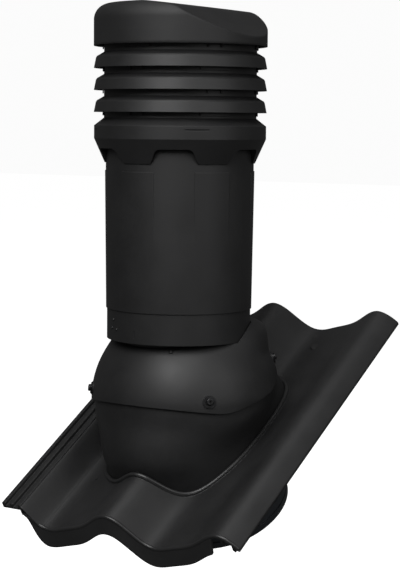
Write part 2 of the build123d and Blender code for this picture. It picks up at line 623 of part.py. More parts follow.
def make_chimney_collar():
    """The band at the chimney's foot: it stands on the hood's neck and centres the tube."""
    inner = COLLAR_RADIUS - COLLAR_WALL
    sleeve_out = TUBE_BORE - FIT_GAP
    sleeve_in = sleeve_out - COLLAR_WALL
    seat_in = NECK_RADIUS + FIT_GAP
    seat_out = seat_in + COLLAR_WALL
    floor = COLLAR_BOTTOM + COLLAR_WALL
    profile = [
        (seat_in, COLLAR_BOTTOM),
        (COLLAR_RADIUS, COLLAR_BOTTOM),
        (COLLAR_RADIUS, TUBE_BOTTOM),
        (sleeve_out, TUBE_BOTTOM),
        (sleeve_out, COLLAR_SLEEVE_TOP),
        (sleeve_in, COLLAR_SLEEVE_TOP),
        (sleeve_in, TUBE_BOTTOM - COLLAR_WALL),
        (inner, TUBE_BOTTOM - 2 * COLLAR_WALL),
        (inner, floor),
        (seat_out, floor),
        (seat_out, NECK_TOP),
        (seat_in, NECK_TOP),
    ]
    collar = turned(profile)
    for azimuth, level in COLLAR_DOTS:
        x, y = COLLAR_RADIUS * cos(radians(azimuth)), COLLAR_RADIUS * sin(radians(azimuth))
        collar += Pos(x, y, COLLAR_BOTTOM + level) * Sphere(COLLAR_DOT)
    azimuth, level, width, height = COLLAR_SLOT
    slot = Pos(COLLAR_RADIUS, 0, COLLAR_BOTTOM + level) * Box(2 * COLLAR_SLOT_DEPTH, width, height)
    return collar - Rot(0, 0, azimuth) * slot


def make_outer_tube():
    """The chimney's outer tube, with six faint raised panels that widen upwards."""
    inner = TUBE_BORE
    profile = [
        (inner, TUBE_BOTTOM),
        (TUBE_BOTTOM_RADIUS, TUBE_BOTTOM),
        (TUBE_RADIUS, PANEL_BOTTOM),
        (TUBE_RADIUS, TUBE_TOP),
        (inner, TUBE_TOP),
    ]
    tube = turned(profile)
    root = TUBE_RADIUS - TUBE_WALL / 2
    face = TUBE_RADIUS + PANEL_RISE
    points = [(root, PANEL_BOTTOM), (TUBE_RADIUS, PANEL_BOTTOM), (face, PANEL_TOP), (root, PANEL_TOP)]
    panel = make_face(Polyline(*[(r, 0, z) for r, z in points], close=True))
    panels = []
    for i in range(PANEL_COUNT):
        turn = 360 / PANEL_COUNT * (i + 0.5) - PANEL_HALF_ANGLE
        panels.append(Rot(0, 0, turn) * revolve(panel, Axis.Z, 2 * PANEL_HALF_ANGLE))
    return tube + panels


def make_inner_duct():
    """The air duct in the middle of the chimney."""
    bottom = hose_bend_start().Z + DUCT_OVER_BEND
    return ring(DUCT_RADIUS - DUCT_WALL, DUCT_RADIUS, bottom, DUCT_TOP)


def make_insulation_sleeve():
    """Foam between the duct and the outer tube."""
    bottom, top = COLLAR_SLEEVE_TOP + FIT_GAP, TUBE_TOP - FIT_GAP
    return ring(DUCT_RADIUS + FIT_GAP, TUBE_BORE - FIT_GAP, bottom, top)


def make_insulation_cover():
    """The ring that covers the foam and centres the duct."""
    inner, outer = DUCT_RADIUS + FIT_GAP, TUBE_RADIUS - FIT_GAP
    lip, top = inner + COVER_THICK, TUBE_TOP + COVER_THICK
    rim = top + COVER_THICK
    skirt = [(inner, TUBE_TOP), (outer, TUBE_TOP), (outer, top)]
    return turned(skirt + [(lip, top), (lip, rim), (inner, rim)])


def lugs(bottom, top, hole):
    """Three inner lugs or bosses that take the long screws."""
    parts = []
    for azimuth in TIE_AZIMUTHS:
        lug = upright(LUG_CIRCLE, 0, bottom, LUG_RADIUS, top)
        if hole:
            lug -= upright(LUG_CIRCLE, 0, bottom - PAST, hole, top + PAST)
        parts.append(Rot(0, 0, azimuth) * lug)
    return parts


def make_head_base():
    """The head's shoulder: a cone with six arched notches, a band and an upstand."""
    inner = TUBE_RADIUS + FIT_GAP
    ledge = TUBE_TOP + COVER_THICK + FIT_GAP
    upstand_in = UPSTAND_RADIUS - RING_WALL
    upstand_top = LIP_FIRST + UPSTAND_OVER_LIP
    spread = (HEAD_RADIUS - HEAD_BOTTOM_RADIUS) / HEAD_CONE
    profile = [
        (inner, HEAD_BOTTOM),
        (HEAD_BOTTOM_RADIUS, HEAD_BOTTOM),
        (HEAD_RADIUS, HEAD_BAND_LOW),
        (HEAD_RADIUS, HEAD_BAND_HIGH),
        (UPSTAND_RADIUS, HEAD_SHELF_TOP),
        (UPSTAND_RADIUS, upstand_top),
        (upstand_in, upstand_top),
        (upstand_in, HEAD_SHELF_TOP - RING_WALL),
        (HEAD_RADIUS - WALL, HEAD_BAND_HIGH - WALL),
        (HEAD_RADIUS - WALL, HEAD_BAND_LOW + WALL * spread / 2),
        (inner + WALL, ledge + WALL),
        (inner - HEAD_LEDGE, ledge + WALL),
        (inner - HEAD_LEDGE, ledge),
        (inner, ledge),
    ]
    head = turned(profile)
    bottom = HEAD_BOTTOM - PAST
    outline = Polyline(
        (0, -NOTCH_HALF_BOTTOM, bottom),
        (0, -NOTCH_HALF_TOP, NOTCH_TOP),
        (0, NOTCH_HALF_TOP, NOTCH_TOP),
        (0, NOTCH_HALF_BOTTOM, bottom),
        close=True,
    )
    face = make_face(outline)
    face = fillet(face.vertices().filter_by(lambda v: v.Z > HEAD_BOTTOM), NOTCH_ROUND)
    cutter = extrude(Pos(TUBE_RADIUS / 2, 0, 0) * face, TUBE_RADIUS, dir=(1, 0, 0))
    head -= [Rot(0, 0, 360 / PANEL_COUNT * i) * cutter for i in range(PANEL_COUNT)]
    level = HEAD_BAND_LOW + LATCH_UP_BAND
    slot = Pos(HEAD_RADIUS, 0, level) * Box(2 * LATCH_DEPTH, LATCH_LENGTH, LATCH_HEIGHT)
    head -= [Rot(0, 0, 360 / LATCH_COUNT * (i + 0.5)) * slot for i in range(LATCH_COUNT)]
    level = HEAD_SHELF_TOP + LUG_OVER_SHELF
    return head + lugs(level, level + LUG_THICK_UP, TIE_RADIUS + FIT_GAP)


def spacers(lip, turn):
    """Stand-offs under a ring: three wide ones and three pairs of narrow ones."""
    foot = lip + UPSTAND_OVER_LIP
    top = lip + RING_SHELF - 1.5 * RING_WALL
    inner = UPSTAND_RADIUS - RING_WALL + FIT_GAP
    tongue = UPSTAND_RADIUS + FIT_GAP
    low = lip - SPACER_TONGUE
    points = [(inner, foot), (tongue, foot), (tongue, low)]
    points += [(SPACER_RADIUS, low), (SPACER_RADIUS, top), (inner, top)]
    face = make_face(Polyline(*[(r, 0, z) for r, z in points], close=True))
    spots = []
    for i in range(3):
        wide = turn + 120 * i
        narrow = wide + 60
        spots.append((wide, SPACER_HALF_ANGLE))
        spots.append((narrow - SPACER_PAIR_ANGLE, SPACER_RIB_ANGLE))
        spots.append((narrow + SPACER_PAIR_ANGLE, SPACER_RIB_ANGLE))
    return [Rot(0, 0, middle - half) * revolve(face, Axis.Z, 2 * half) for middle, half in spots]


def ring_skirt(lip, upper):
    """Outline of a louvre ring over its lip, down the outside and back up the inside."""
    slant = RING_WALL / 4
    return [
        (UPSTAND_RADIUS, lip + RING_SHELF),
        (RING_CORNER_RADIUS - RING_CORNER_ROUND, lip + RING_CORNER + RING_CORNER_ROUND / 2),
        (RING_CORNER_RADIUS, lip + RING_CORNER - RING_CORNER_ROUND),
        (RING_RADIUS, lip),
        (RING_RADIUS - RING_WALL, lip),
        (RING_CORNER_RADIUS - RING_WALL, lip + RING_CORNER - RING_WALL - slant),
        (UPSTAND_RADIUS, lip + RING_SHELF - 2 * RING_WALL + slant),
        (UPSTAND_RADIUS - RING_WALL, lip + RING_SHELF - 2 * RING_WALL),
        (UPSTAND_RADIUS - RING_WALL, upper),
        (UPSTAND_RADIUS, upper),
    ]


def make_louvre_ring(index):
    """One louvre ring, counted from the lowest."""
    lip = LIP_FIRST + RING_PITCH * index
    upper = lip + RING_PITCH + UPSTAND_OVER_LIP
    body = turned(ring_skirt(lip, upper))
    turn = -SPACER_TURN if index % 2 == 0 else SPACER_TURN
    level = lip + RING_SHELF
    return body + spacers(lip, turn) + lugs(level, level + LUG_THICK_UP, TIE_RADIUS + FIT_GAP)


def cap_form(inset):
    """The cap as a full solid: rounded edge, crown, falling top and slanted face."""
    bottom = CAP_LIP - PAST if inset else CAP_LIP
    radius, knee = CAP_RADIUS - inset, CAP_RADIUS - CAP_ROUND
    wall_top = CAP_LIP + CAP_WALL_HEIGHT
    crown_edge = wall_top + CAP_ROUND_HEIGHT - inset
    top = crown_edge + CAP_CROWN
    floor = Line((0, 0, bottom), (radius, 0, bottom))
    side = Line(floor @ 1, (radius, 0, wall_top))
    reach, rise = (radius - knee) * sqrt(0.5), (crown_edge - wall_top) * sqrt(0.5)
    bend = ThreePointArc(side @ 1, (knee + reach, 0, wall_top + rise), (knee, 0, crown_edge))
    crown = ThreePointArc(bend @ 1, (knee / 2, 0, top - CAP_CROWN_SWELL), (0, 0, top))
    axis = Line(crown @ 1, floor @ 0)
    form = Rot(0, 0, 180) * revolve(make_face(Wire([floor, side, bend, crown, axis])), Axis.Z)
    return form - top_cut(inset)


def top_cut(inset):
    """What the cap's falling top and its slanted face cut off, with a soft bend between them."""
    fall, slant = radians(CAP_FALL), radians(CAP_SLANT)
    steeper = tan(slant) - tan(fall)
    out = CAP_SLANT_OUT + (inset / cos(fall) - inset / cos(slant)) / steeper
    corner = Vector(out, 0, CAP_LIP + CAP_FALL_UP - inset / cos(fall) - out * tan(fall))
    falling, slanting = Vector(cos(fall), 0, -sin(fall)), Vector(cos(slant), 0, -sin(slant))
    edge = soft_corner(corner, falling, slanting, CAP_BEND)
    lid = Polyline(edge[-1] @ 1, (FAR, 0, 3 * FAR), (-FAR, 0, 3 * FAR), edge[0] @ 0)
    face = make_face(Wire(edge + lid.edges()))
    return extrude(Pos(0, -FAR, 0) * face, 2 * FAR, dir=(0, 1, 0))


def make_rain_cap():
    """The cap over the head, hollow, with bosses for the long screws."""
    cap = cap_form(0) - cap_form(CAP_WALL)
    room = cap_form(CAP_WALL / 2)
    plate = ring(LUG_CIRCLE - 2 * LUG_RADIUS, CAP_RADIUS, CAP_PLATE, CAP_PLATE + CAP_WALL) & room
    boss_end = CAP_PLATE + TIE_INTO_CAP + TIE_BOSS_END
    bosses = [boss & room for boss in lugs(CAP_PLATE + CAP_WALL / 2, boss_end, 0)]
    cap = cap + [plate] + spacers(CAP_LIP, SPACER_TURN) + bosses
    hole = upright(LUG_CIRCLE, 0, CAP_LIP, TIE_RADIUS + SCREW_PLAY, CAP_PLATE + TIE_INTO_CAP + PAST)
    return cap - [Rot(0, 0, azimuth) * hole for azimuth in TIE_AZIMUTHS]


def make_long_screws():
    """Three long screws from the head's base up into the cap."""
    low = HEAD_SHELF_TOP + LUG_OVER_SHELF
    shank = upright(LUG_CIRCLE, 0, low - PAST, TIE_RADIUS, CAP_PLATE + TIE_INTO_CAP)
    screw = shank + upright(LUG_CIRCLE, 0, low - TIE_HEAD_HEIGHT, TIE_HEAD_RADIUS, low)
    return Compound(children=[Rot(0, 0, azimuth) * screw for azimuth in TIE_AZIMUTHS])


def spigot_axis(level):
    """A point on the spigot's axis, at a height over the roof's mean plane."""
    return ROOF.from_local_coords(Vector(0, SPIGOT_UP_SLOPE, level))


def spigot_meet():
    """Height over the mean plane at which the spigot's axis meets the chimney's axis."""
    return SPIGOT_UP_SLOPE / tan(radians(PITCH))


def make_base_plate():
    """The plate that closes the dome from below, screwed to the tile."""
    front = BOSS_FRONT - BOSS_RADIUS - PLATE_MARGIN
    back = BOSS_BACK + BOSS_RADIUS + PLATE_MARGIN
    outline = RectangleRounded(2 * PLATE_HALF_WIDTH, back - front, PLATE_ROUND)
    plate = Pos(0, (front + back) / 2, PLATE_LEVEL - PLATE_THICK) * extrude(outline, PLATE_THICK)
    low, high = PLATE_LEVEL - 2 * PLATE_THICK, PLATE_LEVEL + PLATE_THICK
    plate -= upright(0, SPIGOT_UP_SLOPE, low, DUCT_RADIUS + FIT_GAP, high)
    plate -= [upright(x, y, low, PLATE_SCREW_RADIUS + FIT_GAP, high) for x, y in boss_places()]
    return to_roof(plate)


def make_base_spigot():
    """The spigot through the plate, with a flange under it and a socket for the duct."""
    top = spigot_meet() - ELBOW_TANGENT
    end = -SOCKET_DEPTH
    socket_top = end + SOCKET_LENGTH
    inner = DUCT_RADIUS - SPIGOT_WALL
    seat = PLATE_LEVEL - PLATE_THICK
    profile = [
        (inner, top),
        (DUCT_RADIUS, top),
        (DUCT_RADIUS, seat),
        (DUCT_RADIUS + SPIGOT_FLANGE, seat),
        (DUCT_RADIUS + SPIGOT_FLANGE, seat - SPIGOT_FLANGE_THICK),
        (DUCT_RADIUS, seat - SPIGOT_FLANGE_THICK),
        (DUCT_RADIUS, socket_top + SOCKET_TAPER + SOCKET_WALL),
        (SOCKET_RADIUS_OUT, socket_top + SOCKET_WALL),
        (SOCKET_RADIUS_OUT, end),
        (SOCKET_BORE, end),
        (SOCKET_BORE, socket_top),
        (SOCKET_BORE - SOCKET_STOP, socket_top),
        (inner, socket_top + SOCKET_TAPER),
    ]
    low = end + SEAL_FROM_END
    groove = ring(SOCKET_BORE - PAST, SOCKET_BORE + SEAL_THICK, low, low + SEAL_WIDTH)
    return to_roof(Pos(0, SPIGOT_UP_SLOPE, 0) * (turned(profile) - groove))


def make_socket_seal():
    """The rubber seal in the socket's groove."""
    low = -SOCKET_DEPTH + SEAL_FROM_END
    outer = SOCKET_BORE + SEAL_THICK - SEAL_PLAY
    seal = ring(SOCKET_BORE, outer, low + SEAL_PLAY, low + SEAL_WIDTH - SEAL_PLAY)
    return to_roof(Pos(0, SPIGOT_UP_SLOPE, 0) * seal)


def make_socket_ring():
    """The grey clamping ring around the socket's open end, with a groove around it."""
    inner = SOCKET_RADIUS_OUT + SOCKET_RING_PLAY
    outer = SOCKET_RADIUS_OUT + SOCKET_RING_THICK
    root, shoulder = outer - SOCKET_RING_GROOVE, outer - SOCKET_RING_BEVEL
    end = -SOCKET_DEPTH
    top = end + SOCKET_RING_LENGTH
    groove_low = end + SOCKET_RING_GROOVE_UP - SOCKET_RING_GROOVE_WIDTH / 2
    groove_high = groove_low + SOCKET_RING_GROOVE_WIDTH
    profile = [
        (inner, end),
        (shoulder, end),
        (outer, end + SOCKET_RING_BEVEL),
        (outer, groove_low),
        (root, groove_low),
        (root, groove_high),
        (outer, groove_high),
        (shoulder, top),
        (inner, top),
    ]
    return to_roof(Pos(0, SPIGOT_UP_SLOPE, 0) * turned(profile))


def make_plate_screws():
    """Four screws that hold the plate under the tile."""
    low = PLATE_LEVEL - PLATE_THICK
    screws = []
    for x, y in boss_places():
        end = PLATE_LEVEL + BOSS_HOLE - PAST
        shank = upright(x, y, low - PAST, PLATE_SCREW_RADIUS - SCREW_PLAY, end)
        head = upright(x, y, low - SCREW_HEAD_HEIGHT, SCREW_HEAD_RADIUS, low)
        screws.append(to_roof(shank + head))
    return Compound(children=screws)


def hose_path(extra):
    """The elbow hose's middle line: plumb, then a bend, then square to the roof."""
    meet = spigot_axis(spigot_meet())
    down = (spigot_axis(0) - meet).normalized()
    start = meet + Vector(0, 0, ELBOW_TANGENT + extra)
    bend_start = hose_bend_start()
    bend_end = meet + down * ELBOW_TANGENT
    finish = meet + down * (ELBOW_TANGENT + extra)
    bend_radius = ELBOW_TANGENT / tan(radians(PITCH / 2))
    half_way = bend_middle(bend_start, bend_radius)
    return [Line(start, bend_start), ThreePointArc(bend_start, half_way, bend_end), Line(bend_end, finish)]


def hose_bend_start():
    """Where the hose's bend starts, under the upright duct."""
    return spigot_axis(spigot_meet()) + Vector(0, 0, ELBOW_TANGENT)


def bend_middle(bend_start, bend_radius, share=0.5):
    """A point on the hose's bend, as a share of its turn."""
    centre = bend_start + Vector(0, bend_radius, 0)
    turn = radians(PITCH * share)
    return centre + Vector(0, -bend_radius * cos(turn), -bend_radius * sin(turn))


def make_elbow_hose():
    """The flexible hose between the upright duct and the spigot, with round ribs."""
    path = Wire(hose_path(HOSE_OVERLAP))
    start = path @ 0
    section = Plane(origin=start, z_dir=(0, 0, -1)) * (Circle(HOSE_OUTER) - Circle(HOSE_INNER))
    hose = sweep(section, path=path)
    bend_start = hose_bend_start()
    bend_radius = ELBOW_TANGENT / tan(radians(PITCH / 2))
    rib_face = Circle(HOSE_OUTER + HOSE_RIB_RISE) - Circle(HOSE_OUTER - HOSE_WALL / 2)
    rib = extrude(rib_face, HOSE_RIB_WIDTH / 2, both=True)
    for i in range(HOSE_RIBS):
        share = (i + 0.5) / HOSE_RIBS
        turn = radians(PITCH * share)
        middle = bend_middle(bend_start, bend_radius, share)
        hose += Plane(origin=middle, z_dir=(0, sin(turn), -cos(turn))).location * rib
    return hose


def clamp(plane):
    """A hose clamp: a steel band with a tightening block."""
    inner = HOSE_OUTER + CLAMP_PLAY
    band = extrude(Circle(inner + CLAMP_THICK) - Circle(inner), CLAMP_WIDTH / 2, both=True)
    block = Pos(inner + CLAMP_BLOCK_OUT, 0, 0) * Box(*CLAMP_BLOCK, CLAMP_WIDTH)
    block -= Cylinder(inner, 2 * CLAMP_WIDTH)
    return plane.location * (band + block)


def make_hose_clamp_upper():
    """The clamp on the duct's end of the hose."""
    level = hose_bend_start().Z + HOSE_OVERLAP / 2
    return clamp(Plane(origin=(0, 0, level), x_dir=(0, 1, 0), z_dir=(0, 0, 1)))


def make_hose_clamp_lower():
    """The clamp on the spigot's end of the hose."""
    level = spigot_meet() - ELBOW_TANGENT - HOSE_OVERLAP / 2
    return clamp(Plane(origin=spigot_axis(level), x_dir=(1, 0, 0), z_dir=ROOF.z_dir))


def main():
    """Makes every piece and writes it to its own file."""
    pieces = {
        "tile_base": make_tile_base,
        "lower_dome": make_lower_dome,
        "hood": make_hood,
        "hood_screws": make_hood_screws,
        "hood_washers": make_hood_washers,
        "hood_nuts": make_hood_nuts,
        "chimney_collar": make_chimney_collar,
        "outer_tube": make_outer_tube,
        "inner_duct": make_inner_duct,
        "insulation_sleeve": make_insulation_sleeve,
        "insulation_cover": make_insulation_cover,
        "head_base": make_head_base,
        "rain_cap": make_rain_cap,
        "long_screws": make_long_screws,
        "base_plate": make_base_plate,
        "base_spigot": make_base_spigot,
        "socket_seal": make_socket_seal,
        "socket_ring": make_socket_ring,
        "plate_screws": make_plate_screws,
        "elbow_hose": make_elbow_hose,
        "hose_clamp_upper": make_hose_clamp_upper,
        "hose_clamp_lower": make_hose_clamp_lower,
    }
    os.makedirs("parts", exist_ok=True)
    for name, make in pieces.items():
        export_step(make(), f"parts/{name}.step")
        print("made", name)
    for index in range(RING_COUNT):
        name = f"louvre_ring_{index + 1}"
        export_step(make_louvre_ring(index), f"parts/{name}.step")
        print("made", name)


main()
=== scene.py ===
"""Looks of a roof tile vent: satin black mouldings on a double-wave tile, lit by soft studio light."""

import logging
import math
from dataclasses import dataclass
from enum import Enum

import bmesh
import bpy
from mathutils import Matrix, Vector


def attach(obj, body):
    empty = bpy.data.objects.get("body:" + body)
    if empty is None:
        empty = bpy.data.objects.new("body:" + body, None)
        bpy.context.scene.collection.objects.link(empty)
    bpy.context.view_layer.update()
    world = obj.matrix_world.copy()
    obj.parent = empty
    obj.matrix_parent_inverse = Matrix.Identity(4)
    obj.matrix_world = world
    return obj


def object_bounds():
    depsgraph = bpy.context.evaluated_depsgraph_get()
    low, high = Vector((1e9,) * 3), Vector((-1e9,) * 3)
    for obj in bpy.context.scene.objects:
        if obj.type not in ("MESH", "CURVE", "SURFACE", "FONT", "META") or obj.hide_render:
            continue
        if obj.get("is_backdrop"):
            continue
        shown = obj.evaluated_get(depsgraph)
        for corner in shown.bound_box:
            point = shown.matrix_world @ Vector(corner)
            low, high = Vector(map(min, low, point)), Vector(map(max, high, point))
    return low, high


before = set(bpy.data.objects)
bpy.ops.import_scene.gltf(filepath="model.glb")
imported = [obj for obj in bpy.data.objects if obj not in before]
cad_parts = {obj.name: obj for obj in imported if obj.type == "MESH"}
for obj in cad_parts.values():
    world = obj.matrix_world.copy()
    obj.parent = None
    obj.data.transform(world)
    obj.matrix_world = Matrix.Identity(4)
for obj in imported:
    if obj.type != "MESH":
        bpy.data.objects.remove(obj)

Socket = bpy.types.NodeSocket
Color = tuple[float, float, float]
Span = tuple[float, float]
Ring = list[bmesh.types.BMVert]

LOG = logging.getLogger("roof_vent")
IMAGE_WIDTH = 400
IMAGE_HEIGHT = 571
BODY = "root"
MM = 0.001
UP = Vector((0.0, 0.0, 1.0))
WHITE = (1.0, 1.0, 1.0, 1.0)

# Sockets of the mixing nodes that share a name, by their number
MIX_COLOR_FIRST = 6
MIX_COLOR_SECOND = 7
MIX_COLOR_RESULT = 2
MIX_SHADER_FIRST = 1
MIX_SHADER_SECOND = 2

# Part of a noise's range that colours and roughness follow
TONE_SPAN = (0.3, 0.7)

# Cosine between a face's own and its rounded normal, from an open face to an edge that gets the full
# painted highlight
EDGE_COSINES = (0.995, 0.8)
BEVEL_SAMPLES = 4

# The painted highlight along an edge comes and goes with this part of a noise, between these two
# shares
HIGHLIGHT_NOISE_SPAN = (0.35, 0.65)
HIGHLIGHT_SHARES = (0.2, 0.9)


class Finish(Enum):
    """The finishes of the vent's pieces."""

    SATIN_MOULDING = "satin moulding"
    TILE_MOULDING = "grained moulding"
    SOFT_MOULDING = "moulding with soft edges"
    # Lighter copy of the tile's moulding: its colour paints a highlight along the beads
    BEAD_HIGHLIGHT_MOULDING = "moulded bead, rubbed smooth"
    GREY_MOULDING = "grey moulding"
    RUBBER = "rubber"
    FOAM = "foam"
    DARK_METAL = "dark metal"
    BRIGHT_METAL = "bright metal"


@dataclass(frozen=True)
class MouldedPlastic:
    """Satin plastic with a faint mottle, a fine grain and edges painted a little paler as a highlight.

    Lengths are in millimetres.
    """

    name: str
    color: Color
    edge_highlight_color: Color
    roughness: float = 0.5
    roughness_swing: float = 0.07
    specular: float = 0.5
    dark_factor: float = 0.82
    light_factor: float = 1.16
    mottle_size: float = 45.0
    mottle_detail: float = 5.0
    speck_grains: float = 6.0
    speck_detail: float = 3.0
    speck_share: float = 0.35
    grain_size: float = 0.55
    grain_detail: float = 2.0
    grain_height: float = 0.02
    edge_round: float = 0.8

    def build(self) -> bpy.types.Material:
        """Makes the material.

        Returns:
            The finished material, with colour, roughness and bump from its nodes.
        """
        shop = NodeShop(self.name)
        place = shop.place()
        mottle = shop.noise(place, 1.0 / (self.mottle_size * MM), self.mottle_detail)
        speck = shop.noise(place, 1.0 / (self.grain_size * self.speck_grains * MM), self.speck_detail)
        tone = shop.mix_value(mottle, speck, self.speck_share)
        dark, light = scaled(self.color, self.dark_factor), scaled(self.color, self.light_factor)
        color = shop.ramp(tone, TONE_SPAN, dark, light)
        # Edges painted paler: a painted highlight where the rounded edges catch the light
        painted_edge_highlight = shop.painted_edge_highlight_mask(self.edge_round * MM, speck)
        color = shop.mix_color(painted_edge_highlight, color, rgba(self.edge_highlight_color))
        span = (self.roughness - self.roughness_swing, self.roughness + self.roughness_swing)
        rough = shop.map_range(tone, TONE_SPAN, span)
        grain = shop.noise(place, 1.0 / (self.grain_size * MM), self.grain_detail)
        rounded = shop.rounded_normal(self.edge_round * MM)
        normal = shop.bump(grain, self.grain_height * MM, rounded)
        shop.finish(color, rough, normal, specular=self.specular, metallic=0.0)
        return shop.material


@dataclass(frozen=True)
class PlainMetal:
    """Plated or blackened steel with fine turning marks.

    Lengths are in millimetres.
    """

    name: str
    color: Color
    roughness: float = 0.35
    roughness_fall: float = 0.08
    roughness_rise: float = 0.1
    metallic: float = 1.0
    specular: float = 0.5
    dark_factor: float = 0.75
    light_factor: float = 1.2
    mottle_size: float = 6.0
    mottle_detail: float = 4.0
    mark_size: float = 0.35
    mark_detail: float = 2.0
    mark_depth: float = 0.008
    edge_round: float = 0.25

    def build(self) -> bpy.types.Material:
        """Makes the material.

        Returns:
            The finished material, with colour, roughness and bump from its nodes.
        """
        shop = NodeShop(self.name)
        place = shop.place()
        tone = shop.noise(place, 1.0 / (self.mottle_size * MM), self.mottle_detail)
        dark, light = scaled(self.color, self.dark_factor), scaled(self.color, self.light_factor)
        color = shop.ramp(tone, TONE_SPAN, dark, light)
        span = (self.roughness - self.roughness_fall, self.roughness + self.roughness_rise)
        rough = shop.map_range(tone, TONE_SPAN, span)
        marks = shop.noise(place, 1.0 / (self.mark_size * MM), self.mark_detail)
        rounded = shop.rounded_normal(self.edge_round * MM)
        normal = shop.bump(marks, self.mark_depth * MM, rounded)
        shop.finish(color, rough, normal, specular=self.specular, metallic=self.metallic)
        return shop.material


@dataclass(frozen=True)
class PaleFloor:
    """Matt pale floor that gives off some light of its own. Its mottle is in turns for each metre."""

    name: str = "pale_floor"
    dark: Color = (0.86, 0.86, 0.86)
    light: Color = (0.9, 0.9, 0.9)
    roughness: Span = (0.55, 0.65)
    specular: float = 0.2
    mottle_turns: float = 3.0
    mottle_detail: float = 3.0
    glow: float = 0.93

    def build(self) -> bpy.types.Material:
        """Makes the material.

        Returns:
            The finished material, with colour and roughness from its nodes.
        """
        shop = NodeShop(self.name)
        tone = shop.noise(shop.place(), self.mottle_turns, self.mottle_detail)
        color = shop.ramp(tone, TONE_SPAN, self.dark, self.light)
        rough = shop.map_range(tone, TONE_SPAN, self.roughness)
        normal = shop.add("ShaderNodeNewGeometry").outputs["Normal"]
        shader = shop.finish(color, rough, normal, specular=self.specular, metallic=0.0)
        shader.inputs["Emission Color"].default_value = WHITE
        shader.inputs["Emission Strength"].default_value = self.glow
        return shop.material


